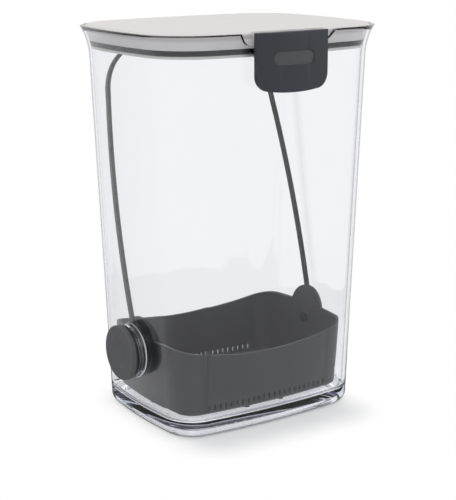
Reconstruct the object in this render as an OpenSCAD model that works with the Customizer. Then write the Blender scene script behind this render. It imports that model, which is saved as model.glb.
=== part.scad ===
// Herb keeper: tapered clear container, press-in lid with a front latch,
// lift-out drain basket with a swinging handle, and a screw-in filler cap.
// Millimetres, +Z up, front is -Y, origin under the middle of the base.

/* [Container] */
// Width over the rim, side to side
rim_w = 168.9; // [150:0.1:190]
// Depth over the rim, front to back
rim_d = 137.15; // [120:0.05:160]
// Height to the top of the lid
full_h = 247.65; // [220:0.05:290]
// Corner radius of the rim seen from above
rim_r = 35.3; // [30:0.1:42]
// Flatness of the front and back walls, as straight part over bow
front_flat = 18; // [12:1:30]
// Flatness of the end walls, as straight part over bow
end_flat = 17; // [12:1:30]
// Wall thickness
wall = 2.4; // [1.8:0.1:3]
// How much narrower the base is than the top of the straight wall, each side
taper = 8.85; // [5:0.05:12]
// How far the lip flares out, each side
flare = 5.45; // [3.5:0.05:7]
// Height of the flared lip
flare_h = 19; // [14:0.5:24]
// Outer rounding along the bottom edge
foot_r = 6; // [3:0.5:8]
// Height of the inside floor
floor_z = 9.5; // [7:0.5:13]
// Depth of the hollow under the floor
recess = 4; // [2:0.5:5]

/* [Lid] */
// How far the lid stands above the rim
lid_proud = 0.65; // [0.3:0.05:2]
// Thickness of the lid's top plate
lid_t = 2.65; // [2:0.05:3.5]
// Height of the gasket
gasket_h = 3.3; // [2.5:0.1:4]
// Thickness of the flange that holds the gasket from below
retain_t = 1.8; // [1.2:0.1:2.4]

/* [Latch] */
// Width of the latch
latch_w = 51.2; // [44:0.2:56]
// Length of the latch, top to bottom
latch_h = 35; // [31:0.5:40]
// Radius of the latch face seen from above
latch_face_r = 120; // [90:5:200]
// Diameter of the latch pin
pin_d = 2.4; // [2:0.1:3]
// Length of the bare pad on the latch face
pad_w = 29; // [20:0.5:36]
// Height of the bare pad on the latch face
pad_h = 8.4; // [5:0.1:10]
// Radius of the latch's lower corners
latch_corner = 9; // [5:0.5:12]
// Depth of the rims along the latch's sides
latch_side = 2.4; // [1.5:0.1:3]
// Width of each hinge lug on the lid
lug_w = 8.8; // [6:0.2:10]

/* [Basket] */
// Height of the basket from its underside to the lowest part of its rim
basket_h = 36; // [30:0.5:42]
// Radius of the long arc in which the rim dips between the ears
dip_r = 265; // [220:5:400]
// Thickness of the basket's walls and floor
basket_t = 1.8; // [1.4:0.1:2.4]
// Height of the small feet
basket_foot = 2.5; // [1.5:0.1:4]
// Radius of the round ears that carry the handle
ear_r = 16.5; // [13:0.5:20]
// Spacing of the drain slots along the bottom edge
drain_pitch = 4; // [3.4:0.1:6]
// Width of a drain slot
drain_w = 1.4; // [1:0.1:1.8]

/* [Handle] */
// Thickness of the handle strap, side to side
strap_t = 2.2; // [1.8:0.1:2.6]
// Width of the handle strap, front to back
strap_w = 3.2; // [2.6:0.1:4]
// Radius of the handle's two upper corners
bend_r = 34; // [24:1:38]

/* [Filler cap] */
// Height of the filler's centre line
cap_z = 47.1; // [44:0.1:52]
// Outer diameter of the cap
cap_d = 34.8; // [32:0.1:37]
// Thickness of the cap's disc
cap_t = 3.5; // [2.8:0.1:4.5]
// Bore of the filler neck
neck_bore = 28.4; // [26:0.1:29]
// How far the neck stands out of the wall
neck_out = 6.2; // [5:0.1:8]

/* [Hidden] */
$fn = 96;
gap = 0.3;
// plan skeleton: four corner centres joined by shallow arcs; the bows are rounded to
// even and whole thousandths, so that the arcs' centres are too and the arcs meet exactly
front_bow = round(500 * (rim_w / 2 - rim_r - (rim_d / 2 - rim_r) / end_flat)
    / (front_flat - 1 / end_flat)) / 500;
end_bow = round(1000 * (rim_d / 2 - rim_r - front_bow) / end_flat) / 1000;
cx = front_bow * front_flat;
cy = end_bow * end_flat;
front_rho = front_bow * (pow(front_flat, 2) + 1) / 2;
end_rho = end_bow * (pow(end_flat, 2) + 1) / 2;
mid_y = cy + front_bow;
mid_x = cx + end_bow;
// outer wall of the container, distance out from the skeleton
rim_z = full_h - lid_proud;
flare_z = rim_z - flare_h;
wall_r = rim_r - flare;
base_r = wall_r - taper;
slope = taper / flare_z;
slant = sqrt(1 + slope * slope);
function out_r(z) = base_r + slope * z;
function in_r(z) = out_r(z) - wall * slant;
// the flare is an arc that carries on from the tapered wall
arc_r = slant * (flare * flare + flare_h * flare_h) / (2 * (flare - slope * flare_h));
arc_x = wall_r + arc_r / slant;
arc_z = flare_z - arc_r * slope / slant;
function lip_out(z) = arc_x - sqrt(pow(arc_r, 2) - pow(z - arc_z, 2));
function lip_in(z) = arc_x - sqrt(pow(arc_r + wall, 2) - pow(z - arc_z, 2));
// lid levels
lid_under = full_h - lid_t;
gasket_top = full_h - 9.25;
gasket_bot = gasket_top - gasket_h;
flange_top = gasket_top + 1.7;
skirt_bot = gasket_bot - retain_t;
gasket_out = lip_in(gasket_bot) - gap;
gasket_in = gasket_out - 2.2;
ring_out = gasket_in - gap;
ring_in = ring_out - 1.6;
// latch levels; the pin runs along X
pin_r = pin_d / 2;
pin_y = -(mid_y + lip_out(rim_z) - 1.6);
pin_z = full_h - 4.25;
barrel_r = 3.8;
latch_top = pin_z + barrel_r;
latch_bot = latch_top - latch_h;
latch_out = pin_y - 5.2;
latch_t = 2.4;
latch_low_r = 140;
face_y = latch_out + latch_face_r;
barrel_half = latch_w / 2 - 4.1;
lug_x = barrel_half / 2;
lug_r = 2.5;
web_t = lug_r - 0.6;
side_y = face_y - sqrt(pow(latch_face_r, 2) - pow(latch_w / 2, 2));
hook_half = latch_w / 2 - 11.6;
lid_face = pin_y + barrel_r + 0.35;
hook_z = latch_bot + 9.6;
ledge_out = -(mid_y + out_r(hook_z)) - 2.1;
notch_z = full_h - 8.15;
notch_b = latch_w / 2 + 3.2;
notch_t = notch_b + 5.4;
// basket
basket_z = floor_z + basket_foot;
basket_top = basket_z + basket_h;
basket_r0 = in_r(floor_z) - 6.3;
function basket_r(z) = basket_r0 + 0.0737 * (z - basket_z);
pivot_z = basket_top - 2;
ear_z = basket_top + 3.5;
pad_out = mid_x + basket_r(pivot_z) + 1.2;
pad_in = pad_out - 3.9;
pivot_r = 2.5;
crease_x = cx - 1;
crease_pitch = 1;
crease_w = 0.4;
crease_d = 0.3;
slot_z = basket_z + basket_t + 0.8;
slot_h = 3.4;
stand_x = 13;
stand_r = 2;
floor_pitch_x = 7.6;
floor_pitch_y = 17;
// handle
strap_in = pad_out + gap;
strap_x = strap_in + strap_t / 2;
bar_t = lid_under - 1.6 - strap_w / 2 - pivot_z;
lean = asin((cy + 21.3) / bar_t);
side_rho = 950;
side_t0 = 45;
side_x = strap_x + side_rho * (1 - cos(asin(side_t0 / side_rho)));
// filler
bore_r = neck_bore / 2;
neck_r = cap_d / 2 - 0.4;
wall_x = mid_x + out_r(cap_z);
neck_x = wall_x + neck_out;
seal_t = 0.8;
plug_r = bore_r - gap;
plug_x = wall_x - 2.1;

// ---- shared shapes ----

// Sweeps a flat profile round the plan: x is the distance out from the skeleton, y the height.
// Each turned body is kept only inside its own wedge, and the wedges meet face to face.
module around() {
    for (sx = [-1, 1], sy = [-1, 1]) intersection() {
        translate([sx * cx, sy * cy, 0]) rotate_extrude() children();
        wedge([[sx * cx, sy * cy], front_end(sx, sy), [sx * (cx + 120), sy * (cy + 130)], side_end(sx, sy)]);
    }
    long_sides() children();
    for (s = [-1, 1]) intersection() {
        translate([s * (mid_x - end_rho), 0, 0]) rotate([0, 0, s > 0 ? 180 : 0])
            rotate_extrude($fn = 360) translate([end_rho, 0]) children();
        wedge([[s * (mid_x - end_rho), 0], side_end(s, 1), side_end(s, -1)]);
    }
}

// The same along the front and the back only.
module long_sides() {
    for (s = [-1, 1]) intersection() {
        translate([0, s * (mid_y - front_rho), 0])
            rotate_extrude($fn = 360) translate([front_rho, 0]) children();
        wedge([[0, s * (mid_y - front_rho)], front_end(1, s), front_end(-1, s)]);
    }
}

// Points beyond the wall on the lines where a corner meets a long side or an end.
function front_end(sx, sy) = [sx * (cx + 0.8 * front_flat), sy * (cy + 0.4 * (pow(front_flat, 2) - 1))];
function side_end(sx, sy) = [sx * (cx + 0.4 * (pow(end_flat, 2) - 1)), sy * (cy + 0.8 * end_flat)];

module wedge(points) {
    translate([0, 0, -10]) linear_extrude(height = 300) polygon(points);
}

// Plate inside the skeleton, reaching a little way out of it.
module core(z0, z1, reach = 4) {
    intersection() {
        translate([0, mid_y - front_rho, z0]) cylinder(r = front_rho + reach, h = z1 - z0, $fn = 360);
        translate([0, front_rho - mid_y, z0]) cylinder(r = front_rho + reach, h = z1 - z0, $fn = 360);
        translate([mid_x - end_rho, 0, z0]) cylinder(r = end_rho + reach, h = z1 - z0, $fn = 360);
        translate([end_rho - mid_x, 0, z0]) cylinder(r = end_rho + reach, h = z1 - z0, $fn = 360);
    }
}

// Turns a flat shape drawn in (y, z) into a bar along X.
module along_x(x0, x1) {
    translate([x0, 0, 0]) rotate([90, 0, 90]) linear_extrude(height = x1 - x0) children();
}

// Turns a flat shape drawn in (x, z) into a bar along Y.
module along_y(y0, y1) {
    translate([0, y1, 0]) rotate([90, 0, 0]) linear_extrude(height = y1 - y0) children();
}

module rod_x(x0, x1, y, z, r) {
    translate([x0, y, z]) rotate([0, 90, 0]) cylinder(r = r, h = x1 - x0);
}

// ---- container ----

module wall_profile() {
    fx = base_r + slope * foot_r - foot_r * slant;
    inner_f = 5;
    ix = in_r(floor_z + inner_f) - inner_f;
    polygon(concat(
        [[2, recess], [fx - 5, recess], [fx - 3.4, 0]],
        // rounded bottom edge
        [for (i = [0 : 6]) [fx + foot_r * sin(i * 14.7), foot_r - foot_r * cos(i * 14.7)]],
        [[wall_r, flare_z]],
        // flared lip, outside
        [for (i = [1 : 7]) [lip_out(flare_z + i * (flare_h - 0.6) / 7), flare_z + i * (flare_h - 0.6) / 7]],
        [[rim_r, rim_z - 0.25], [rim_r - 0.6, rim_z], [lip_in(rim_z) + 0.5, rim_z],
            [lip_in(rim_z - 0.5), rim_z - 0.5]],
        // flared lip, inside
        [for (i = [6 : -1 : 0]) [lip_in(flare_z + i * flare_h / 7), flare_z + i * flare_h / 7]],
        // rounded inside corner and floor
        [for (i = [0 : 5]) [ix + inner_f * cos(i * 18), floor_z + inner_f - inner_f * sin(i * 18)]],
        [[2, floor_z]]));
}

module notch_cut() {
    side_a = atan((notch_t - notch_b) / (rim_z - notch_z));
    r = 4;
    ccx = notch_b - r * (1 - sin(side_a)) / cos(side_a);
    along_y(-rim_d, -mid_y - wall_r + 8) {
        polygon([[-notch_t - 2.2, rim_z + 3], [-notch_t, rim_z],
            [-ccx - r * cos(side_a), notch_z + r - r * sin(side_a)], [-ccx, notch_z],
            [ccx, notch_z], [ccx + r * cos(side_a), notch_z + r - r * sin(side_a)],
            [notch_t, rim_z], [notch_t + 2.2, rim_z + 3]]);
        for (s = [-1, 1])
            translate([s * ccx, notch_z + r]) circle(r = r);
    }
}

module container() {
    color([0.86, 0.89, 0.93, 0.35]) difference() {
        union() {
            around() wall_profile();
            core(recess, floor_z);
            // filler neck
            rod_x(-neck_x, -wall_x + 1.3, 0, cap_z, neck_r);
            // ledge that the latch hooks under
            translate([-hook_half - 2, ledge_out, hook_z + 0.4]) cube([2 * hook_half + 4, 3, 2.2]);
        }
        notch_cut();
        rod_x(-neck_x - 1, -wall_x + 8, 0, cap_z, bore_r);
    }
}

// ---- lid ----

// The lid as if solid: flared skirt and a top plate with a soft edge.
module lid_outside(edge) {
    polygon([[2, full_h], [2, gasket_top], [lip_in(gasket_top) - 0.6, gasket_top],
        [lip_in(lid_under) - 1.5, lid_under], [lip_in(lid_under) - 0.6, lid_under],
        [edge, full_h - 1.1], [edge - 1.1, full_h]]);
}

// The hollow under the lid, narrowed by the flange over the gasket.
module lid_inside() {
    polygon([[1.5, gasket_top - 1], [1.5, lid_under], [gasket_in + 2.2, lid_under],
        [gasket_in, flange_top], [gasket_in, gasket_top - 1]]);
}

module lid_top() {
    color([0.87, 0.86, 0.85]) difference() {
        union() {
            around() difference() {
                lid_outside(lip_in(rim_z) - 0.55);
                lid_inside();
            }
            core(lid_under, full_h);
        }
        // flat place for the latch
        translate([-latch_w / 2 - 0.4, -rim_d, flange_top + 0.5])
            cube([latch_w + 0.8, rim_d + lid_face, 20]);
    }
    // hinge lugs, each with a low web
    color([0.87, 0.86, 0.85]) for (s = [-1, 1]) difference() {
        union() {
            rod_x(s * lug_x - lug_w / 2, s * lug_x + lug_w / 2, pin_y, pin_z, lug_r);
            translate([s * lug_x - lug_w / 2, pin_y, pin_z - lug_r])
                cube([lug_w, lid_face - pin_y + 1.4, web_t]);
        }
        rod_x(s * lug_x - lug_w, s * lug_x + lug_w, pin_y, pin_z, pin_r + 0.05);
    }
}

module lid_base() {
    color([0.85, 0.84, 0.83]) around() {
        translate([ring_in, skirt_bot]) square([ring_out - ring_in, lid_under - skirt_bot]);
        translate([ring_in, skirt_bot]) square([lip_in(skirt_bot) - 0.6 - ring_in, retain_t]);
    }
}

module lid_gasket() {
    color([0.33, 0.34, 0.36]) around() {
        difference() {
            polygon([[gasket_in, gasket_bot], [gasket_out, gasket_bot],
                [gasket_out + 0.2, gasket_bot + 0.8], [lip_in(gasket_top) - gap - 0.2, gasket_top - 0.6],
                [lip_in(gasket_top) - gap - 0.7, gasket_top], [gasket_in, gasket_top]]);
            translate([gasket_out - 0.6, gasket_bot + gasket_h / 2 - 0.3]) square([2, 0.6]);
        }
    }
}

// ---- latch ----

// Front view of the latch: straight sides, round lower corners and a shallow arc below.
module latch_outline() {
    half = latch_w / 2;
    arc_z = latch_bot + latch_low_r;
    corner_x = half - latch_corner;
    corner_z = arc_z - sqrt(pow(latch_low_r - latch_corner, 2) - pow(corner_x, 2));
    reach = (latch_low_r + 5) / (latch_low_r - latch_corner);
    translate([-half, corner_z]) square([latch_w, latch_top - corner_z]);
    for (s = [-1, 1])
        translate([s * corner_x, corner_z]) circle(r = latch_corner);
    intersection() {
        translate([0, arc_z]) circle(r = latch_low_r, $fn = 720);
        translate([0, arc_z]) polygon([[-corner_x * 0.2, (corner_z - arc_z) * 0.2],
            [corner_x * 0.2, (corner_z - arc_z) * 0.2],
            [corner_x * reach, (corner_z - arc_z) * reach],
            [-corner_x * reach, (corner_z - arc_z) * reach]]);
        translate([-half, latch_bot - 1]) square([latch_w, latch_corner + 12]);
    }
}

module latch_face(inset, z0, z1) {
    translate([0, face_y, z0]) cylinder(r = latch_face_r - inset, h = z1 - z0, $fn = 360);
}

module latch() {
    half = latch_w / 2;
    color([0.25, 0.26, 0.28]) difference() {
        union() {
            // curved front plate with a soft top edge
            intersection() {
                difference() {
                    latch_face(0, latch_bot, latch_top);
                    latch_face(latch_t, latch_bot - 1, latch_top + 1);
                }
                along_y(-rim_d, 0) latch_outline();
                side_shape();
            }
            // head that carries the pin
            intersection() {
                union() {
                    rod_x(-barrel_half, barrel_half, pin_y, pin_z, barrel_r);
                    translate([-barrel_half, latch_out - 1, pin_z - barrel_r])
                        cube([2 * barrel_half, pin_y - latch_out + 1, 2 * barrel_r]);
                }
                latch_face(0, latch_bot, latch_top + 1);
                side_shape();
            }
            // rims along the sides
            for (s = [-1, 1]) intersection() {
                translate([s * (half - 0.9) - 0.9, latch_out, latch_bot + latch_corner])
                    cube([1.8, side_y + latch_side - latch_out, latch_h]);
                latch_face(0, latch_bot, latch_top);
                side_shape();
            }
            // hook
            translate([-hook_half, latch_out + 1.6, hook_z - 2.6])
                cube([2 * hook_half, ledge_out - gap - latch_out - 1.6, 2.6]);
        }
        // room for the lid's lugs, open to the back and the top
        for (s = [-1, 1]) {
            rod_x(s * lug_x - lug_w / 2 - 0.4, s * lug_x + lug_w / 2 + 0.4, pin_y, pin_z, lug_r + 0.4);
            translate([s * lug_x - lug_w / 2 - 0.4, pin_y - 0.3, pin_z - 5]) cube([lug_w + 0.8, 9, 12]);
        }
        rod_x(-barrel_half + 1, barrel_half - 1, pin_y, pin_z, pin_r + 0.05);
        // bare pad, sunk a little
        intersection() {
            difference() {
                latch_face(-2, latch_bot, latch_top);
                latch_face(0.5, latch_bot - 1, latch_top + 1);
            }
            along_y(-rim_d, 0) translate([0, latch_top - 15.1]) {
                square([pad_w - pad_h, pad_h], center = true);
                for (s = [-1, 1]) translate([s * (pad_w - pad_h) / 2, 0]) circle(r = pad_h / 2);
            }
        }
    }
}

// Side view of the latch, to round its top front edge.
module side_shape() {
    r = 2.4;
    along_x(-latch_w / 2, latch_w / 2) {
        translate([latch_out, latch_bot]) square([12, latch_h - r]);
        translate([latch_out + r, latch_bot]) square([12 - r, latch_h]);
        translate([latch_out + r, latch_top - r]) circle(r = r);
    }
}

module latch_pin() {
    color([0.72, 0.73, 0.75]) rod_x(-barrel_half + 1.2, barrel_half - 1.2, pin_y, pin_z, pin_r);
}

// ---- basket ----

// Wall of the basket, as high as the ears.
module basket_wall() {
    top = ear_z + ear_r + 2;
    polygon([[basket_r0 - basket_t - 3, basket_z], [basket_r0 - 1.2, basket_z],
        [basket_r(basket_z + 1.2), basket_z + 1.2], [basket_r(top), top], [basket_r(top) - basket_t, top],
        [basket_r(basket_z) - basket_t, basket_z + basket_t + 1],
        [basket_r0 - basket_t - 1, basket_z + basket_t], [basket_r0 - basket_t - 3, basket_z + basket_t]]);
}

// Skin of the wall that the creases are cut from.
module crease_band() {
    low = basket_z + 2;
    high = basket_top + 12;
    polygon([[basket_r(low) - crease_d, low], [basket_r(low) + 2, low],
        [basket_r(high) + 2, high], [basket_r(high) - crease_d, high]]);
}

module basket_shape() {
    difference() {
        around() basket_wall();
        // the rim dips in one long arc, and round ears stay standing at the ends
        difference() {
            translate([0, rim_d / 2, basket_top + dip_r]) rotate([90, 0, 0])
                cylinder(r = dip_r, h = rim_d, $fn = 360);
            rod_x(-rim_w / 2, rim_w / 2, 0, ear_z, ear_r);
        }
    }
    core(basket_z, basket_z + basket_t, basket_r0 - basket_t - 2);
    for (s = [-1, 1]) {
        // pivot pads
        rod_x(s * (pad_in + pad_out) / 2 - 1.95, s * (pad_in + pad_out) / 2 + 1.95, 0, pivot_z, 6);
        // feet
        for (x = [-stand_x, stand_x])
            translate([x, s * (cy + 9), floor_z]) cylinder(r = stand_r, h = basket_foot + 0.5);
        translate([s * (cx + 9), 0, floor_z]) cylinder(r = stand_r, h = basket_foot + 0.5);
    }
}

module basket() {
    // the drain slots stay clear of the creases
    n = floor((crease_x - crease_pitch - (crease_w + drain_w) / 2 - 0.3) / drain_pitch);
    color([0.36, 0.37, 0.39]) difference() {
        basket_shape();
        for (s = [-1, 1])
            rod_x(s * (mid_x + 11) - 8, s * (mid_x + 11) + 8, 0, pivot_z, pivot_r + 0.06);
        // drain slots along the bottom edge, front and back
        for (i = [-n : n], s = [-1, 1])
            translate([i * drain_pitch - drain_w / 2, s * (mid_y + 11.5) - 4.5, slot_z])
                cube([drain_w, 9, slot_h]);
        // floor slots
        for (i = [-6 : 6], j = [-1.5 : 1.5])
            translate([i * floor_pitch_x - 1.5, j * floor_pitch_y - 6.5, basket_z - 1])
                cube([3, 13, basket_t + 2]);
        // two fine creases at each end of the long sides
        intersection() {
            long_sides() crease_band();
            for (s = [-1, 1], i = [0, 1])
                translate([s * (crease_x - i * crease_pitch) - crease_w / 2, -rim_d / 2, basket_z])
                    cube([crease_w, rim_d, 2 * basket_h]);
        }
    }
}

// ---- handle ----

// Part of a flat ring between two directions.
module ring_part(r, w, a0, a1) {
    intersection() {
        difference() {
            circle(r = r + w / 2, $fn = 360);
            circle(r = r - w / 2, $fn = 360);
        }
        polygon([[0, 0], [(r + w) * 1.2 * cos(a0), (r + w) * 1.2 * sin(a0)],
            [(r + w) * 1.2 * cos((a0 + a1) / 2), (r + w) * 1.2 * sin((a0 + a1) / 2)],
            [(r + w) * 1.2 * cos(a1), (r + w) * 1.2 * sin(a1)]]);
    }
}

// Half of the handle in its own plane: x out from the middle, y up from the pivot.
module half_strap() {
    low = -asin(side_t0 / side_rho);
    lift = asin((bar_t - bend_r - side_t0) / (side_rho - bend_r));
    bx = side_x - side_rho + (side_rho - bend_r) * cos(lift);
    translate([side_x - side_rho, side_t0]) ring_part(side_rho, strap_t, low, lift + 0.05);
    translate([bx, bar_t - bend_r]) ring_part(bend_r, strap_t, lift, 90.3);
    translate([-1, bar_t - strap_t / 2]) square([bx + 1, strap_t]);
}

module basket_handle() {
    color([0.30, 0.31, 0.34]) translate([0, 0, pivot_z]) rotate([-lean, 0, 0]) {
        translate([0, strap_w / 2, 0]) rotate([90, 0, 0]) linear_extrude(height = strap_w) {
            half_strap();
            mirror([1, 0]) half_strap();
        }
        for (s = [-1, 1]) {
            rod_x(s * strap_x - strap_t / 2, s * strap_x + strap_t / 2, 0, 0, 5);
            // stub through the basket wall and its inner head
            rod_x(s * (strap_x + pad_in - 1.5) / 2 - (strap_x - pad_in + 1.5) / 2,
                s * (strap_x + pad_in - 1.5) / 2 + (strap_x - pad_in + 1.5) / 2, 0, 0, pivot_r);
            rod_x(s * (pad_in - 1.05) - 0.75, s * (pad_in - 1.05) + 0.75, 0, 0, 3.4);
        }
    }
}

// ---- filler cap ----

module filler_cap() {
    r = cap_d / 2;
    x0 = neck_x + seal_t;
    color([0.30, 0.31, 0.33]) difference() {
        translate([-x0, 0, cap_z]) rotate([0, -90, 0]) rotate_extrude() {
            square([r - 1, cap_t]);
            translate([0, 0]) square([r, cap_t - 1]);
            translate([r - 1, cap_t - 1]) circle(r = 1);
            translate([0, plug_x - x0]) square([plug_r, x0 - plug_x + 0.5]);
        }
        // shallow thumb dish
        translate([-x0 - cap_t - 38.6, 0, cap_z]) sphere(r = 40, $fn = 180);
        // hollow of the plug
        rod_x(-x0 - 0.3, -plug_x + 1, 0, cap_z, plug_r - 2);
    }
}

module filler_seal() {
    color([0.62, 0.64, 0.66]) difference() {
        rod_x(-neck_x - seal_t, -neck_x, 0, cap_z, neck_r - 0.5);
        rod_x(-neck_x - seal_t - 1, -neck_x + 1, 0, cap_z, plug_r + gap);
    }
}

container();
lid_top();
lid_base();
lid_gasket();
latch();
latch_pin();
basket();
basket_handle();
filler_cap();
filler_seal();
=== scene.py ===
"""Looks of a clear herb keeper: canister, lid with latch, drain basket with a bail, filler cap."""

import math

import bmesh
import bpy
from bpy.props import FloatProperty, FloatVectorProperty, IntProperty, PointerProperty
from mathutils import Matrix, Vector


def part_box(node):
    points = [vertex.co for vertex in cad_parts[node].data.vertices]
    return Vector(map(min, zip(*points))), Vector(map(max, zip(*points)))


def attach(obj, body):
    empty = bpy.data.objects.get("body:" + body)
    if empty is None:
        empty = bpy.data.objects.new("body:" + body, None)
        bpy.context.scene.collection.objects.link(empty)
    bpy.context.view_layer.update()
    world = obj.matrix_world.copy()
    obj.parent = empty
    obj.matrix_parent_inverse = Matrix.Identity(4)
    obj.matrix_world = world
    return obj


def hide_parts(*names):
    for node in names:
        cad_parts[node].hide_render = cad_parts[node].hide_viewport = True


bl_info = {
    "name": "Herb Keeper",
    "version": (1, 0, 0),
    "blender": (4, 5, 0),
    "location": "View3D > Sidebar > Herb Keeper",
    "description": "Builds and finishes the pieces of a clear herb keeper",
    "category": "Add Mesh",
}

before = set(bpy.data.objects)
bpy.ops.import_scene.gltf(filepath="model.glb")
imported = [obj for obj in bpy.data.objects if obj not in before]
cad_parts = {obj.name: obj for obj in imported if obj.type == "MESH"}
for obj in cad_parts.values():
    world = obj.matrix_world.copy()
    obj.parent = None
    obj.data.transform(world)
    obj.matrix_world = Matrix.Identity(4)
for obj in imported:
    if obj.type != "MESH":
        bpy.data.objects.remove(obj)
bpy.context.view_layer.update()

MM = 0.001
# the way from the keeper to the white backdrop
BACKDROP_SIDE = Vector((0.55, 0.83, 0.0))
WHITE = (1, 1, 1, 1)
SOFT_BLUE = (0.97, 0.98, 1, 1)
# painted grey shade on the clear plastic where it is seen edge on, and the tint it takes through
# its depth
PAINTED_EDGE_SHADE = (0.10, 0.10, 0.13, 1)
DEPTH_BLUE = (0.50, 0.56, 0.76, 1)
# points nearer than this are one point
NEAR = 0.01 * MM
# an arc of the plan that turns by more radians than this is a corner
CORNER_TURN = 0.6
# edges that meet at more than this many degrees stay sharp in the shading
SHARP_FROM = 32


# ---- settings ----


class HerbKeeperSizes(bpy.types.PropertyGroup):
    """Sizes of the moulded wall and of the softened edges."""

    rim_radius: FloatProperty(
        name="Rim Corner Radius",
        description="Radius of the rim's corners seen from above",
        default=35.3 * MM,
        unit="LENGTH",
    )
    front_flatness: FloatProperty(
        name="Front Flatness",
        description="Straight part of the front and back walls over their bow",
        default=18.0,
    )
    end_flatness: FloatProperty(
        name="End Flatness",
        description="Straight part of the end walls over their bow",
        default=17.0,
    )
    wall: FloatProperty(
        name="Wall",
        description="Thickness of the clear wall",
        default=2.4 * MM,
        unit="LENGTH",
    )
    taper: FloatProperty(
        name="Taper",
        description="How much narrower the base is than the top of the straight wall, each side",
        default=8.85 * MM,
        unit="LENGTH",
    )
    flare: FloatProperty(
        name="Flare",
        description="How far the lip flares out, each side",
        default=5.45 * MM,
        unit="LENGTH",
    )
    flare_height: FloatProperty(
        name="Flare Height",
        description="Height of the flared lip",
        default=19.0 * MM,
        unit="LENGTH",
    )
    foot_radius: FloatProperty(
        name="Foot Radius",
        description="Outer rounding along the bottom edge",
        default=6.0 * MM,
        unit="LENGTH",
    )
    floor_height: FloatProperty(
        name="Floor Height",
        description="Height of the inside floor",
        default=9.5 * MM,
        unit="LENGTH",
    )
    recess: FloatProperty(
        name="Recess",
        description="Depth of the hollow under the floor",
        default=4.0 * MM,
        unit="LENGTH",
    )
    soft_edge: FloatProperty(
        name="Soft Edge",
        description="Rounding of the moulded pieces' edges",
        default=0.35 * MM,
        unit="LENGTH",
    )
    arc_steps: IntProperty(
        name="Arc Steps",
        description="Steps round each corner of the container",
        default=28,
    )


class HerbKeeperColours(bpy.types.PropertyGroup):
    """Colours of the finishes, as they look in plain light."""

    clear: FloatVectorProperty(
        name="Clear Plastic",
        description="Tint of the container",
        subtype="COLOR",
        default=(0.985, 0.988, 0.995),
    )
    lid: FloatVectorProperty(
        name="Lid",
        description="Pale warm grey of the lid",
        subtype="COLOR",
        default=(0.76, 0.735, 0.72),
    )
    # painted light: the skirt is paler than the lid's top, to make up for the light that the clear
    # lip keeps from it
    skirt: FloatVectorProperty(
        name="Lid Skirt",
        description="Paler grey of the lid's skirt",
        subtype="COLOR",
        default=(0.93, 0.915, 0.905),
    )
    gasket: FloatVectorProperty(
        name="Gasket",
        description="Dark rubber of the gasket",
        subtype="COLOR",
        default=(0.034, 0.035, 0.040),
    )
    latch: FloatVectorProperty(
        name="Latch",
        description="Slate grey of the latch",
        subtype="COLOR",
        default=(0.043, 0.045, 0.055),
    )
    pad: FloatVectorProperty(
        name="Pad",
        description="Paler grey of the bare pad on the latch",
        subtype="COLOR",
        default=(0.080, 0.082, 0.090),
    )
    basket: FloatVectorProperty(
        name="Basket",
        description="Dark grey of the basket",
        subtype="COLOR",
        default=(0.064, 0.065, 0.072),
    )
    handle: FloatVectorProperty(
        name="Handle",
        description="Dark grey of the basket's handle",
        subtype="COLOR",
        default=(0.017, 0.018, 0.022),
    )
    cap: FloatVectorProperty(
        name="Cap",
        description="Dark grey of the filler cap",
        subtype="COLOR",
        default=(0.108, 0.109, 0.116),
    )
    seal: FloatVectorProperty(
        name="Seal",
        description="Dark rubber of the filler's washer",
        subtype="COLOR",
        default=(0.030, 0.031, 0.035),
    )
    # painted highlight: a bright ring that stands for the light caught where the clear neck meets
    # the wall
    bead: FloatVectorProperty(
        name="Bead",
        description="Bright polished bead round the foot of the neck",
        subtype="COLOR",
        default=(0.80, 0.82, 0.84),
    )
    pin: FloatVectorProperty(
        name="Pin",
        description="Steel of the latch pin",
        subtype="COLOR",
        default=(0.62, 0.62, 0.64),
    )


# ---- shader maths ----


class Sum:
    """A socket that takes part in sums: each operator adds its Math node."""

    def __init__(self, finish, socket):
        self.finish = finish
        self.socket = socket

    def _math(self, operation, first, second):
        return self.finish.node("ShaderNodeMath", {"operation": operation}, {0: first, 1: second})

    def __add__(self, other):
        return self._math("ADD", self, other)

    def __radd__(self, other):
        return self._math("ADD", other, self)

    def __sub__(self, other):
        return self._math("SUBTRACT", self, other)

    def __rsub__(self, other):
        return self._math("SUBTRACT", other, self)

    def __mul__(self, other):
        return self._math("MULTIPLY", self, other)

    def __rmul__(self, other):
        return self._math("MULTIPLY", other, self)

    def __truediv__(self, other):
        return self._math("DIVIDE", self, other)

    def __lt__(self, other):
        return self._math("LESS_THAN", self, other)

    def root(self):
        return self._math("SQRT", self, 0.0)

    def size(self):
        return self._math("ABSOLUTE", self, 0.0)

    def at_least(self, other):
        return self._math("MAXIMUM", self, other)


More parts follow.
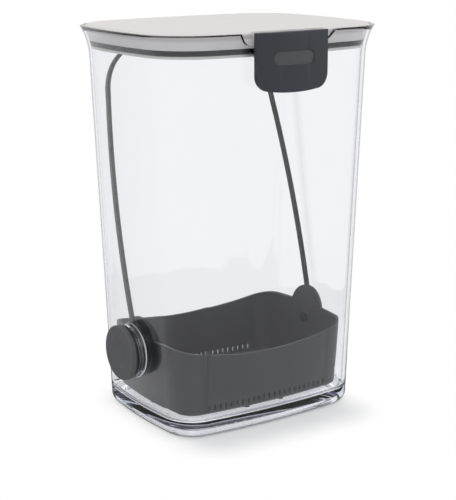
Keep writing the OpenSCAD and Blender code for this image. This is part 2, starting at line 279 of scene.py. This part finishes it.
class Finish:
    """The nodes of a material or a world, added one at a time."""

    def __init__(self, owner):
        self.owner = owner
        owner.use_nodes = True
        self.tree = owner.node_tree
        self.tree.nodes.clear()

    def node(self, kind, settings=None, sockets=None, out=0):
        """Adds a node, applies its settings, sets or links its inputs and gives its output."""
        made = self.tree.nodes.new(kind)
        for key, value in (settings or {}).items():
            setattr(made, key, value)
        for key, value in (sockets or {}).items():
            if isinstance(value, Sum):
                self.tree.links.new(value.socket, made.inputs[key])
            else:
                made.inputs[key].default_value = value
        return Sum(self, made.outputs[out]) if made.outputs else made

    def object_point(self):
        return self.node("ShaderNodeTexCoord", out="Object")

    def axis(self, letter):
        """One coordinate of the point in the object's own space."""
        return self.node("ShaderNodeSeparateXYZ", None, {"Vector": self.object_point()}, out=letter)

    def ramp(self, value, low, high):
        """Goes softly from 0 to 1 as the value goes from low to high."""
        return self.node(
            "ShaderNodeMapRange",
            {"interpolation_type": "SMOOTHSTEP"},
            {"Value": value, "From Min": low, "From Max": high},
            out="Result",
        )

    def noise(self, scale, detail=3.0, roughness=0.55, stretch=(1, 1, 1)):
        place = self.object_point()
        point = self.node("ShaderNodeMapping", None, {"Vector": place, "Scale": stretch})
        return self.node(
            "ShaderNodeTexNoise",
            None,
            {"Vector": point, "Scale": scale, "Detail": detail, "Roughness": roughness},
        )

    def tinted(self, colour, mask, shade, amount):
        """The colour, moved towards its shade where the mask is high."""
        pale = (*colour, 1)
        dark = (*(min(1.0, c * shade) for c in colour), 1)
        return self.mix_colours(mask * amount, pale, dark)

    def mix_colours(self, factor, first, second):
        made = self.tree.nodes.new("ShaderNodeMix")
        made.data_type = "RGBA"
        sockets = {s.identifier: s for s in made.inputs}
        for key, value in (("Factor_Float", factor), ("A_Color", first), ("B_Color", second)):
            if isinstance(value, Sum):
                self.tree.links.new(value.socket, sockets[key])
            else:
                sockets[key].default_value = value
        result = next(s for s in made.outputs if s.identifier == "Result_Color")
        return Sum(self, result)

    def bump(self, height, strength, distance):
        return self.node(
            "ShaderNodeBump", None, {"Height": height, "Strength": strength, "Distance": distance}
        )

    def surface(self, shader, volume=None):
        sockets = {"Surface": shader}
        if volume is not None:
            sockets["Volume"] = volume
        self.node("ShaderNodeOutputMaterial", None, sockets)
        return self.owner


def moulded(name, colour, roughness, grain, inlay=None):
    """Satin moulded plastic: fine spark texture, faint flow marks and small rubbed patches.

    An inlay is a function that takes the finish and the base colour and gives the colour with it.
    """
    finish = Finish(bpy.data.materials.new(name))
    texture = finish.noise(3400, 2, 0.6)
    flow = finish.noise(34, 4, 0.6, (1, 1, 0.35))
    rubbed = finish.noise(140, 5, 0.65)
    base = finish.tinted(colour, flow, 1.12, 0.55)
    if inlay:
        base = inlay(finish, base)
    # both noises lie round a half, so the mean stays at the given roughness
    shine = flow * 0.10 + rubbed * 0.07 + (roughness - 0.085)
    height = texture + rubbed * 0.3
    shader = finish.node(
        "ShaderNodeBsdfPrincipled",
        None,
        {
            "Base Color": base,
            "Roughness": shine,
            "IOR": 1.50,
            "Specular IOR Level": 0.35,
            "Normal": finish.bump(height, grain, 0.06 * MM),
        },
    )
    return finish.surface(shader)


def clear_plastic(name, colour):
    """Clear moulded plastic: a faint cool tint, and painted grey shade where it is seen edge on."""
    finish = Finish(bpy.data.materials.new(name))
    ripple = finish.noise(16, 2, 0.5)
    haze = finish.noise(60, 3, 0.6)
    # painted shade: the base colour greys where the wall is seen edge on, for its dark outlines
    edge_on = finish.node("ShaderNodeLayerWeight", None, {"Blend": 0.5}, out="Facing")
    edge_shade_amount = finish.ramp(edge_on, 0.68, 0.84)
    clear = finish.tinted(colour, haze, 0.985, 0.5)
    shader = finish.node(
        "ShaderNodeBsdfPrincipled",
        None,
        {
            "Base Color": finish.mix_colours(edge_shade_amount, clear, PAINTED_EDGE_SHADE),
            "Roughness": haze * 0.015 + 0.004,
            "IOR": 1.50,
            "Transmission Weight": 1.0,
            "Normal": finish.bump(ripple, 0.12, 0.25 * MM),
        },
    )
    depth = finish.node("ShaderNodeVolumeAbsorption", None, {"Color": DEPTH_BLUE, "Density": 14.0})
    return finish.surface(shader, depth)


def rubber(name, colour):
    """Soft rubber with a dull, slightly dusty skin."""
    finish = Finish(bpy.data.materials.new(name))
    dust = finish.noise(220, 4, 0.7)
    skin = finish.noise(2600, 2, 0.5)
    shader = finish.node(
        "ShaderNodeBsdfPrincipled",
        None,
        {
            "Base Color": finish.tinted(colour, dust, 1.35, 0.5),
            "Roughness": dust * 0.15 + 0.42,
            "IOR": 1.48,
            "Normal": finish.bump(skin, 0.15, 0.05 * MM),
        },
    )
    return finish.surface(shader)


def drawn_steel(name, colour):
    """Drawn steel wire with fine lines along its length."""
    finish = Finish(bpy.data.materials.new(name))
    lines = finish.noise(900, 3, 0.6, (0.05, 1, 1))
    shader = finish.node(
        "ShaderNodeBsdfPrincipled",
        None,
        {
            "Base Color": finish.tinted(colour, lines, 0.8, 0.6),
            "Metallic": 1.0,
            "Roughness": lines * 0.2 + 0.22,
            "Normal": finish.bump(lines, 0.2, 0.02 * MM),
        },
    )
    return finish.surface(shader)


# ---- mesh helpers ----


def smooth(mesh):
    """Shades a mesh smooth, apart from its sharp edges."""
    mesh.shade_smooth()
    mesh.set_sharp_from_angle(angle=math.radians(SHARP_FROM))


def new_piece(name, mesh_work, material, body):
    """Turns finished mesh work into a piece that rides on a body."""
    mesh = bpy.data.meshes.new(name)
    mesh_work.to_mesh(mesh)
    mesh_work.free()
    mesh.materials.append(material)
    smooth(mesh)
    piece = bpy.data.objects.new(name, mesh)
    bpy.context.scene.collection.objects.link(piece)
    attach(piece, body)
    return piece


def dress_node(node, material):
    """Gives a CAD node a material."""
    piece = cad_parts[node]
    piece.data.materials.clear()
    piece.data.materials.append(material)
    return piece


def cut(piece, cutter_mesh, operation):
    """Applies a boolean of the cutter to the piece."""
    mesh = bpy.data.meshes.new("cutter")
    cutter_mesh.to_mesh(mesh)
    cutter_mesh.free()
    cutter = bpy.data.objects.new("cutter", mesh)
    bpy.context.scene.collection.objects.link(cutter)
    modifier = piece.modifiers.new(operation, "BOOLEAN")
    modifier.operation = operation
    modifier.solver = "EXACT"
    modifier.object = cutter
    settled = piece.evaluated_get(bpy.context.evaluated_depsgraph_get())
    result = bpy.data.meshes.new_from_object(settled)
    piece.modifiers.clear()
    old = piece.data
    piece.data = result
    bpy.data.meshes.remove(old)
    bpy.data.objects.remove(cutter)
    bpy.data.meshes.remove(mesh)


def box_work(low, high):
    """Mesh work holding a box between two corners."""
    work = bmesh.new()
    bmesh.ops.create_cube(work, size=1)
    low, high = Vector(low), Vector(high)
    bmesh.ops.scale(work, vec=high - low, verts=work.verts)
    bmesh.ops.translate(work, vec=(high + low) / 2, verts=work.verts)
    return work


def rod_along_x(x0, x1, y, z, radius, steps=96):
    """Mesh work holding a round rod along X."""
    work = bmesh.new()
    turn = Matrix.Translation(((x0 + x1) / 2, y, z)) @ Matrix.Rotation(math.pi / 2, 4, "Y")
    bmesh.ops.create_cone(
        work,
        cap_ends=True,
        segments=steps,
        radius1=radius,
        radius2=radius,
        depth=abs(x1 - x0),
        matrix=turn,
    )
    return work


def ring_along_x(section, y, z, steps=128):
    """Mesh work holding a closed section of (x, distance out) points, turned round along X."""
    work = bmesh.new()
    points = [work.verts.new((x, y, z + out)) for x, out in section]
    edges = [work.edges.new(pair) for pair in zip(points, points[1:] + points[:1])]
    bmesh.ops.spin(
        work,
        geom=points + edges,
        cent=(0, y, z),
        axis=(1, 0, 0),
        angle=2 * math.pi,
        steps=steps,
        use_merge=True,
        use_duplicate=False,
    )
    bmesh.ops.remove_doubles(work, verts=work.verts, dist=NEAR)
    bmesh.ops.recalc_face_normals(work, faces=work.faces)
    return work


def merge(work, near, thinnest):
    """Joins points that lie on each other, and removes faces without an area."""
    bmesh.ops.remove_doubles(work, verts=work.verts, dist=near)
    bmesh.ops.dissolve_degenerate(work, edges=work.edges, dist=thinnest)


def softened_copy(node, name, body, material, width):
    """A copy of a CAD node's mesh, merged, its sharp edges rounded where there is room for it."""
    same_point, short = 0.002 * MM, 0.9 * MM
    flat, sharp_from = math.radians(0.6), math.radians(30)
    work = bmesh.new()
    work.from_mesh(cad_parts[node].data)
    bmesh.ops.remove_doubles(work, verts=work.verts, dist=same_point)
    bmesh.ops.dissolve_limit(work, angle_limit=flat, verts=work.verts, edges=work.edges)
    # a short edge leaves no room to round the edges that meet it
    tight = {v for e in work.edges if e.calc_length() < short for v in e.verts}
    sharp = [
        e
        for e in work.edges
        if len(e.link_faces) == 2
        and e.calc_face_angle(0) > sharp_from
        and tight.isdisjoint(e.verts)
    ]
    bmesh.ops.bevel(
        work,
        geom=sharp,
        offset=width,
        offset_type="OFFSET",
        affect="EDGES",
        segments=2,
        profile=0.5,
        material=-1,
        clamp_overlap=True,
    )
    merge(work, near=2 * same_point, thinnest=same_point)
    piece = new_piece(name, work, material, body)
    weighted = piece.modifiers.new("weighted", "WEIGHTED_NORMAL")
    weighted.keep_sharp = True
    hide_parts(node)
    return piece


# ---- the container's swept wall ----


class Plan:
    """Plan skeleton: four corner centres joined by shallow arcs."""

    def __init__(self, sizes):
        _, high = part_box("container")
        self.rim_z = high.z
        self.half_depth = high.y
        self.half_width = high.x
        radius = sizes.rim_radius
        front, end = sizes.front_flatness, sizes.end_flatness
        straight_x = self.half_width - radius - (self.half_depth - radius) / end
        self.cx = straight_x / (1 - 1 / (front * end))
        self.cy = self.half_depth - radius - self.cx / front
        self.front_bow = self.cx / front
        self.end_bow = self.cy / end
        self.front_rho = self.front_bow * (front**2 + 1) / 2
        self.end_rho = self.end_bow * (end**2 + 1) / 2
        self.front_angle = math.asin(self.cx / self.front_rho)
        self.end_angle = math.asin(self.cy / self.end_rho)
        self.mid_x = self.cx + self.end_bow
        self.mid_y = self.cy + self.front_bow

    def stretches(self):
        """Each arc's centre and angle, counted from the +X end's lower limit round to it again."""
        corner = math.pi / 2 - self.front_angle - self.end_angle
        end_x = self.mid_x - self.end_rho
        front_y = self.mid_y - self.front_rho
        return [
            (end_x, 0, 2 * self.end_angle),
            (self.cx, self.cy, corner),
            (0, front_y, 2 * self.front_angle),
            (-self.cx, self.cy, corner),
            (-end_x, 0, 2 * self.end_angle),
            (-self.cx, -self.cy, corner),
            (0, -front_y, 2 * self.front_angle),
            (self.cx, -self.cy, corner),
        ]


def swept(plan, profile, arc_steps):
    """Spins a profile of (distance out, height) points round the whole plan.

    The two openings in the middle, the recess's ceiling and the floor, are then filled.
    """
    work = bmesh.new()
    facing = -plan.end_angle
    start = Vector((plan.cx, -plan.cy, 0))
    out = Vector((math.cos(facing), math.sin(facing), 0))
    points = [work.verts.new(start + out * r + Vector((0, 0, z))) for r, z in profile]
    edges = [work.edges.new(pair) for pair in zip(points, points[1:])]
    geometry = points + edges
    for x, y, angle in plan.stretches():
        steps = arc_steps if angle > CORNER_TURN else arc_steps // 2
        spun = bmesh.ops.spin(
            work,
            geom=geometry,
            cent=(x, y, 0),
            axis=(0, 0, 1),
            angle=angle,
            steps=steps,
            use_merge=False,
            use_duplicate=False,
        )
        geometry = spun["geom_last"]
    bmesh.ops.remove_doubles(work, verts=work.verts, dist=NEAR)
    open_edges = [e for e in work.edges if e.is_boundary]
    bmesh.ops.edgeloop_fill(work, edges=open_edges)
    bmesh.ops.recalc_face_normals(work, faces=work.faces)
    return work


def arc_points(centre, radius, first, last, steps):
    """Points (distance out, height) on an arc, its angles in degrees from straight out."""
    turn = [math.radians(first + (last - first) * i / steps) for i in range(steps + 1)]
    return [(centre[0] + radius * math.cos(a), centre[1] + radius * math.sin(a)) for a in turn]


class Wall:
    """The tapered wall and its flared lip, as distance out from the skeleton at a height."""

    def __init__(self, sizes, plan):
        self.sizes = sizes
        self.rim_z = plan.rim_z
        self.flare_z = plan.rim_z - sizes.flare_height
        self.round_z = plan.rim_z - 0.8 * MM
        self.wall_r = sizes.rim_radius - sizes.flare
        self.base_r = self.wall_r - sizes.taper
        self.slope = sizes.taper / self.flare_z
        self.slant = math.hypot(1, self.slope)
        across, up = sizes.flare, sizes.flare_height
        self.arc_r = self.slant * (across**2 + up**2) / (2 * (across - self.slope * up))
        self.arc_x = self.wall_r + self.arc_r / self.slant
        self.arc_z = self.flare_z - self.arc_r * self.slope / self.slant

    def outside(self, z):
        if z < self.flare_z:
            return self.base_r + self.slope * z
        return self.arc_x - math.sqrt(self.arc_r**2 - (z - self.arc_z) ** 2)

    def inside(self, z):
        if z < self.flare_z:
            return self.outside(z) - self.sizes.wall * self.slant
        return self.arc_x - math.sqrt((self.arc_r + self.sizes.wall) ** 2 - (z - self.arc_z) ** 2)

    def outer_profile(self):
        """From the edge of the recess, under the foot and up the outside to the rim."""
        foot, recess = self.sizes.foot_radius, self.sizes.recess
        foot_x = self.base_r + self.slope * foot - foot * self.slant
        lean = math.degrees(math.atan(self.slope))
        # the recess's rounded edge, from its ceiling down to the ring that the keeper stands on
        profile = [(foot_x - 5.4 * MM, recess), (foot_x - 4.6 * MM, recess - 0.35 * MM)]
        profile += [(foot_x - 3.6 * MM, 0.5 * MM), (foot_x - 3.0 * MM, 0)]
        profile += arc_points((foot_x, foot), foot, -90, -lean, 10)
        above_foot = foot * 2
        profile += [(self.outside(z), z) for z in spread(above_foot, self.flare_z, 8)]
        profile += [(self.outside(z), z) for z in spread(self.flare_z, self.round_z, 10)[1:]]
        return profile

    def inner_profile(self):
        """From the rim down the inside to the floor."""
        corner = 5 * MM
        floor = self.sizes.floor_height
        corner_x = self.inside(floor + corner) - corner
        above_corner = floor + corner * 1.6
        profile = [(self.inside(z), z) for z in spread(self.round_z, self.flare_z, 10)]
        profile += [(self.inside(z), z) for z in spread(self.flare_z, above_corner, 8)[1:]]
        profile += arc_points((corner_x, floor + corner), corner, 0, -90, 8)
        return profile

    def rim_profile(self):
        """The softened top of the lip."""
        top = self.rim_z
        outer, inner = self.sizes.rim_radius, self.inside(top)
        half = (outer - inner) / 2
        middle = inner + half
        rise = 0.55 * MM
        return [
            (middle + half * math.cos(a), top - rise + rise * math.sin(a))
            for a in [math.radians(18 * i) for i in range(1, 10)]
        ]

    def profile(self):
        """The wall's section, open towards the middle: from the recess round to the floor."""
        return self.outer_profile() + self.rim_profile() + self.inner_profile()


class Neck:
    """The filler neck's axis, ends and radius, as the cap, its washer and the wall give them."""

    def __init__(self, sizes):
        low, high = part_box("filler_cap")
        washer_low, washer_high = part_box("filler_seal")
        plan = Plan(sizes)
        self.y, self.z = (low.y + high.y) / 2, (low.z + high.z) / 2
        self.cap_radius = (high.z - low.z) / 2
        self.radius = self.cap_radius - 0.4 * MM
        self.washer_x = washer_low.x
        self.end_x = washer_high.x
        self.foot_x = -plan.mid_x - Wall(sizes, plan).outside(self.z)


def spread(first, last, steps):
    """Evenly spaced values, both ends included."""
    return [first + (last - first) * i / steps for i in range(steps + 1)]


def notch_work(plan):
    """The cut in the front lip that the latch hangs in, with rounded lower corners."""
    low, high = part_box("latch")
    room, depth, lean, corner = 3.2 * MM, 7.5 * MM, 0.72, 4 * MM
    before, behind, above = 5 * MM, 40 * MM, 8 * MM
    half = (high.x - low.x) / 2 + room
    floor = plan.rim_z - depth
    work = box_work((-half, -plan.half_depth - before, floor), (half, -behind, plan.rim_z + above))
    for vert in work.verts:
        if vert.co.z > plan.rim_z:
            vert.co.x += math.copysign(lean * (vert.co.z - floor), vert.co.x)
    low_edges = [
        e for e in work.edges if all(v.co.z < plan.rim_z for v in e.verts) and is_along(e, 1)
    ]
    bmesh.ops.bevel(
        work,
        geom=low_edges,
        offset=corner,
        offset_type="OFFSET",
        affect="EDGES",
        segments=10,
        profile=0.5,
        material=-1,
    )
    bmesh.ops.recalc_face_normals(work, faces=work.faces)
    return work


def is_along(edge, axis):
    """Whether an edge runs along that axis, 0 to 2."""
    step = edge.verts[1].co - edge.verts[0].co
    return abs(step[axis]) > 0.999 * step.length


# ---- pieces ----


class PieceMaker(bpy.types.Operator):
    """Shared by the operators that make the keeper's pieces"""

    bl_options = {"REGISTER", "UNDO"}

    @property
    def sizes(self):
        return bpy.context.scene.herb_keeper_sizes

    @property
    def colours(self):
        return bpy.context.scene.herb_keeper_colours


class HERB_OT_container(PieceMaker):
    """Make the clear container with its filler neck and latch ledge"""

    bl_idname = "herb.container"
    bl_label = "Container"

    def execute(self, context):
        plan = Plan(self.sizes)
        wall = Wall(self.sizes, plan)
        material = clear_plastic("clear_plastic", self.colours.clear)
        shell = new_piece(
            "container_shell",
            swept(plan, wall.profile(), self.sizes.arc_steps),
            material,
            "shell",
        )
        neck = Neck(self.sizes)
        sunk, neck_wall, bore_in, bore_out = 1.3 * MM, 2.8 * MM, 8 * MM, 2 * MM
        outside = rod_along_x(neck.end_x, neck.foot_x + sunk, neck.y, neck.z, neck.radius)
        bore = rod_along_x(
            neck.end_x - bore_out, neck.foot_x + bore_in, neck.y, neck.z, neck.radius - neck_wall
        )
        cut(shell, outside, "UNION")
        cut(shell, self.ledge(plan, wall), "UNION")
        cut(shell, bore, "DIFFERENCE")
        cut(shell, notch_work(plan), "DIFFERENCE")
        work = bmesh.new()
        work.from_mesh(shell.data)
        merge(work, near=0.002 * MM, thinnest=0.001 * MM)
        work.to_mesh(shell.data)
        work.free()
        smooth(shell.data)
        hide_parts("container")
        return {"FINISHED"}

    def ledge(self, plan, wall):
        """The bar on the front wall that the latch's hook catches."""
        latch_low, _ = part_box("latch")
        above_hook, out, half, depth, height = 10 * MM, 2.1 * MM, 16 * MM, 3 * MM, 2.2 * MM
        z = latch_low.z + above_hook
        y = -plan.mid_y - wall.outside(z) - out
        return box_work((-half, y, z), (half, y + depth, z + height))


class HERB_OT_lid(PieceMaker):
    """Make the pale lid, its gasket ring and the latch pin"""

    bl_idname = "herb.lid"
    bl_label = "Lid"

    def execute(self, context):
        pale = moulded(
            "lid_plastic", self.colours.lid, roughness=0.42, grain=0.06, inlay=self.skirt
        )
        dress_node("lid_top", pale)
        dress_node("lid_base", pale)
        dress_node("lid_gasket", rubber("gasket_rubber", self.colours.gasket))
        dress_node("latch_pin", drawn_steel("pin_steel", self.colours.pin))
        return {"FINISHED"}

    def skirt(self, finish, base):
        """Painted light: the skirt under the soft top edge is paler, to make up for the light that
        the clear lip keeps from it.
        """
        _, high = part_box("lid_top")
        edge, whole = 3.0 * MM, 5.0 * MM
        painted_skirt_light = finish.ramp(high.z - finish.axis("Z"), edge, whole)
        return finish.mix_colours(painted_skirt_light, base, (*self.colours.skirt, 1))


class HERB_OT_latch(PieceMaker):
    """Make the slate grey latch with its bare pad"""

    bl_idname = "herb.latch"
    bl_label = "Latch"

    def execute(self, context):
        slate = moulded(
            "latch_plastic", self.colours.latch, roughness=0.48, grain=0.12, inlay=self.pad
        )
        softened_copy("latch", "latch_tab", "latch", slate, self.sizes.soft_edge)
        return {"FINISHED"}

    def pad(self, finish, base):
        """A paler stadium on the middle of the face."""
        _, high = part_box("latch")
        straight_half, end_radius, down = 10.3 * MM, 4.15 * MM, 15.1 * MM
        across = (finish.axis("X").size() - straight_half).at_least(0.0)
        up = finish.axis("Z") - (high.z - down)
        inside = (across * across + up * up).root() < end_radius
        return finish.mix_colours(inside, base, (*self.colours.pad, 1))


class HERB_OT_basket(PieceMaker):
    """Make the drain basket and its bail"""

    bl_idname = "herb.basket"
    bl_label = "Basket"

    def execute(self, context):
        grey = moulded("basket_plastic", self.colours.basket, roughness=0.46, grain=0.012)
        softened_copy("basket", "drain_basket", "basket", grey, self.sizes.soft_edge)
        strap = moulded("handle_plastic", self.colours.handle, roughness=0.40, grain=0.06)
        softened_copy("basket_handle", "bail", "handle", strap, self.sizes.soft_edge)
        return {"FINISHED"}


class HERB_OT_filler(PieceMaker):
    """Make the filler cap and its washer, the plug's thread and the rings round the neck, one of
    them a painted highlight
    """

    bl_idname = "herb.filler"
    bl_label = "Filler Cap"

    def execute(self, context):
        dark = moulded("cap_plastic", self.colours.cap, roughness=0.50, grain=0.1)
        dress_node("filler_cap", dark)
        dress_node("filler_seal", rubber("seal_rubber", self.colours.seal))
        neck = Neck(self.sizes)
        self.thread(neck)
        self.bead(neck)
        self.skirt(neck)
        return {"FINISHED"}

    def thread(self, neck):
        """A glossy screw thread on the plug, seen through the clear neck."""
        root, crest = 13.7 * MM, 14.12 * MM
        flank, flat = 0.35 * MM, 0.6 * MM
        pitch, turns, steps = 2.0 * MM, 3.0, 216
        start = neck.end_x + 0.4 * MM
        section = [(0, root), (flank, crest), (flank + flat, crest), (2 * flank + flat, root)]
        work = bmesh.new()
        points = [work.verts.new((start + along, neck.y, neck.z + out)) for along, out in section]
        edges = [work.edges.new(pair) for pair in zip(points, points[1:] + points[:1])]
        face = work.faces.new(points)
        bmesh.ops.spin(
            work,
            geom=points + edges + [face],
            cent=(0, neck.y, neck.z),
            axis=(1, 0, 0),
            dvec=(pitch * turns / steps, 0, 0),
            angle=2 * math.pi * turns,
            steps=steps,
            use_merge=False,
            use_duplicate=False,
        )
        bmesh.ops.remove_doubles(work, verts=work.verts, dist=NEAR)
        bmesh.ops.recalc_face_normals(work, faces=work.faces)
        gloss = moulded("thread_plastic", self.colours.seal, roughness=0.16, grain=0.02)
        new_piece("plug_thread", work, gloss, "cap")

    def bead(self, neck):
        """A bright ring round the foot of the neck: a painted highlight for the light caught where
        the clear neck meets the wall.
        """
        radius = 0.36 * MM
        x, out = neck.foot_x - 0.15 * MM, neck.cap_radius - 0.2 * MM
        angles = [math.radians(30 * i) for i in range(12)]
        section = [(x + radius * math.cos(a), out + radius * math.sin(a)) for a in angles]
        painted_highlight = moulded("bead_painted_highlight", self.colours.bead, roughness=0.12, grain=0.01)
        ring = ring_along_x(section, neck.y, neck.z)
        new_piece("neck_highlight_bead", ring, painted_highlight, "shell")

    def skirt(self, neck):
        """The cap's short skirt over the neck's end."""
        first, last = neck.washer_x + 0.1 * MM, neck.end_x + 1.2 * MM
        inner, outer = neck.cap_radius - 0.34 * MM, neck.cap_radius - 0.04 * MM
        edge = 0.1 * MM
        front = [(first, inner), (first, outer)]
        back = [(last - edge, outer), (last, outer - edge), (last, inner)]
        gloss = moulded("skirt_plastic", self.colours.handle, roughness=0.30, grain=0.02)
        new_piece("cap_skirt", ring_along_x(front + back, neck.y, neck.z), gloss, "cap")


# ---- stage ----


class HERB_OT_stage(bpy.types.Operator):
    """Set up the floor, the soft lights, the white surroundings and the camera"""

    bl_idname = "herb.stage"
    bl_label = "Stage"

    def execute(self, context):
        self.floor()
        self.world()
        self.lights()
        self.camera()
        return {"FINISHED"}

    def floor(self):
        """White paper, lit close to the keeper where its shadow lies, and plain white beyond."""
        work = bmesh.new()
        bmesh.ops.create_grid(work, x_segments=1, y_segments=1, size=6.0)
        mesh = bpy.data.meshes.new("floor")
        work.to_mesh(mesh)
        work.free()
        finish = Finish(bpy.data.materials.new("floor_paper"))
        tone = finish.noise(3, 2, 0.5)
        paper = finish.node(
            "ShaderNodeBsdfPrincipled",
            None,
            {"Base Color": finish.tinted((0.90, 0.90, 0.90), tone, 0.995, 1.0), "Roughness": 0.9},
        )
        x, y = finish.axis("X"), finish.axis("Y")
        seen = self.background_rays(finish)
        # under the base, the light that clear plastic lets through and its plain shadow leaves out
        base_x, base_y, let_through, around = 46 * MM, 30 * MM, 0.45, 0.17
        under = self.outside_box(x, y, base_x, base_y)
        light = (1.0 - finish.ramp(under, 12 * MM, 19 * MM)) * let_through + around
        glow = finish.node("ShaderNodeEmission", None, {"Color": WHITE, "Strength": seen * light})
        lit = finish.node("ShaderNodeAddShader", None, {0: paper, 1: glow})
        away = (x * x + y * y).root().at_least(0.001)
        towards = (x * BACKDROP_SIDE.x + y * BACKDROP_SIDE.y) / away
        level = self.background_level(finish, towards)
        white = finish.node("ShaderNodeEmission", None, {"Color": WHITE, "Strength": level})
        shadow_x, shadow_y, half = -2 * MM, -12 * MM, 44 * MM
        beside = self.outside_box(x - shadow_x, y - shadow_y, half, half)
        far = finish.ramp(beside, 4 * MM, 38 * MM)
        both = finish.node("ShaderNodeMixShader", None, {0: seen * far, 1: lit, 2: white})
        mesh.materials.append(finish.surface(both))
        floor = bpy.data.objects.new("floor", mesh)
        bpy.context.scene.collection.objects.link(floor)

    def outside_box(self, x, y, half_x, half_y):
        """How far a point of the floor lies outside a box round the middle."""
        out_x = (x.size() - half_x).at_least(0.0)
        out_y = (y.size() - half_y).at_least(0.0)
        return (out_x * out_x + out_y * out_y).root()

    def background_rays(self, finish):
        """1 for rays that see the background straight, mirrored or through something clear."""
        camera, glossy, through = self.ray_kinds(finish)
        return camera.at_least(glossy).at_least(through)

    def background_level(self, finish, towards):
        """White towards the backdrop, and dimmer where a ray leaves by the studio's open side."""
        camera, glossy, through = self.ray_kinds(finish)
        open_mirrored, open_bent = 0.25, 0.85
        mirrored = finish.ramp(towards, 0.45, 0.85) * (1 - open_mirrored) + open_mirrored
        bent = finish.ramp(towards, -0.55, 0.05) * (1 - open_bent) + open_bent
        return camera.at_least(through * bent).at_least(glossy * mirrored)

    def ray_kinds(self, finish):
        """Three values that are 1 for camera, glossy and transmission rays."""
        kinds = ("Is Camera Ray", "Is Glossy Ray", "Is Transmission Ray")
        return [finish.node("ShaderNodeLightPath", out=kind) for kind in kinds]

    def world(self):
        """White to look at, and softer as a light."""
        world = bpy.data.worlds.new("studio")
        bpy.context.scene.world = world
        finish = Finish(world)
        direction = finish.node("ShaderNodeTexCoord", out="Generated")
        towards = finish.node(
            "ShaderNodeVectorMath",
            {"operation": "DOT_PRODUCT"},
            {0: direction, 1: BACKDROP_SIDE},
            out="Value",
        )
        level = self.background_level(finish, towards)
        white = finish.node("ShaderNodeBackground", None, {"Color": WHITE, "Strength": level})
        soft = finish.node("ShaderNodeBackground", None, {"Color": SOFT_BLUE, "Strength": 0.52})
        seen = self.background_rays(finish)
        both = finish.node("ShaderNodeMixShader", None, {0: seen, 1: soft, 2: white})
        finish.node("ShaderNodeOutputWorld", None, {"Surface": both})

    def lights(self):
        """Three large soft lamps round the keeper."""
        self.lamp("key", place=(-0.9, -1.1, 1.1), watts=8)
        self.lamp("fill", place=(1.2, -0.8, 0.7), watts=5)
        self.lamp("back", place=(-0.3, 0.8, 1.4), watts=5)

    def lamp(self, name, place, watts, size=1.0):
        """A round lamp that is aimed at the middle of the keeper."""
        light = bpy.data.lights.new(name, "AREA")
        light.shape = "DISK"
        light.size = size
        light.energy = watts
        lamp = bpy.data.objects.new(name, light)
        lamp.location = place
        middle = Vector((0, 0, 120 * MM))
        aim = middle - lamp.location
        lamp.rotation_euler = aim.to_track_quat("-Z", "Y").to_euler()
        bpy.context.scene.collection.objects.link(lamp)

    def camera(self):
        """The photograph's camera, fitted to the rim, the corners and the base."""
        view = bpy.data.cameras.new("camera")
        view.sensor_fit = "VERTICAL"
        view.sensor_height = 36
        view.sensor_width = 36
        view.lens = 93.88
        view.clip_end = 50.0
        camera = bpy.data.objects.new("camera", view)
        right = Vector((0.8353, -0.5497, -0.0040)).normalized()
        back = Vector((-0.5316, -0.8097, 0.2487)).normalized()
        up = back.cross(right)
        turn = Matrix((right, up, back)).transposed().to_4x4()
        camera.matrix_world = Matrix.Translation((-0.45012, -0.68541, 0.31230)) @ turn
        bpy.context.scene.collection.objects.link(camera)
        bpy.context.scene.camera = camera
        bpy.context.scene.view_settings.view_transform = "Standard"


# ---- add-on ----


class HERB_PT_panel(bpy.types.Panel):
    """Lists the keeper's settings and pieces"""

    bl_label = "Herb Keeper"
    bl_space_type = "VIEW_3D"
    bl_region_type = "UI"
    bl_category = "Herb Keeper"

    def draw(self, context):
        layout = self.layout
        for group in (context.scene.herb_keeper_sizes, context.scene.herb_keeper_colours):
            box = layout.box()
            for name in group.__annotations__:
                box.prop(group, name)
        for maker in MAKERS:
            layout.operator(maker.bl_idname)


MAKERS = (
    HERB_OT_stage,
    HERB_OT_container,
    HERB_OT_lid,
    HERB_OT_latch,
    HERB_OT_basket,
    HERB_OT_filler,
)
CLASSES = (HerbKeeperSizes, HerbKeeperColours, *MAKERS, HERB_PT_panel)


def register():
    for made in CLASSES:
        bpy.utils.register_class(made)
    bpy.types.Scene.herb_keeper_sizes = PointerProperty(type=HerbKeeperSizes)
    bpy.types.Scene.herb_keeper_colours = PointerProperty(type=HerbKeeperColours)


def unregister():
    del bpy.types.Scene.herb_keeper_colours
    del bpy.types.Scene.herb_keeper_sizes
    for made in reversed(CLASSES):
        bpy.utils.unregister_class(made)


def main():
    register()
    bpy.ops.herb.stage()
    bpy.ops.herb.container()
    bpy.ops.herb.lid()
    bpy.ops.herb.latch()
    bpy.ops.herb.basket()
    bpy.ops.herb.filler()


if __name__ == "__main__":
    main()
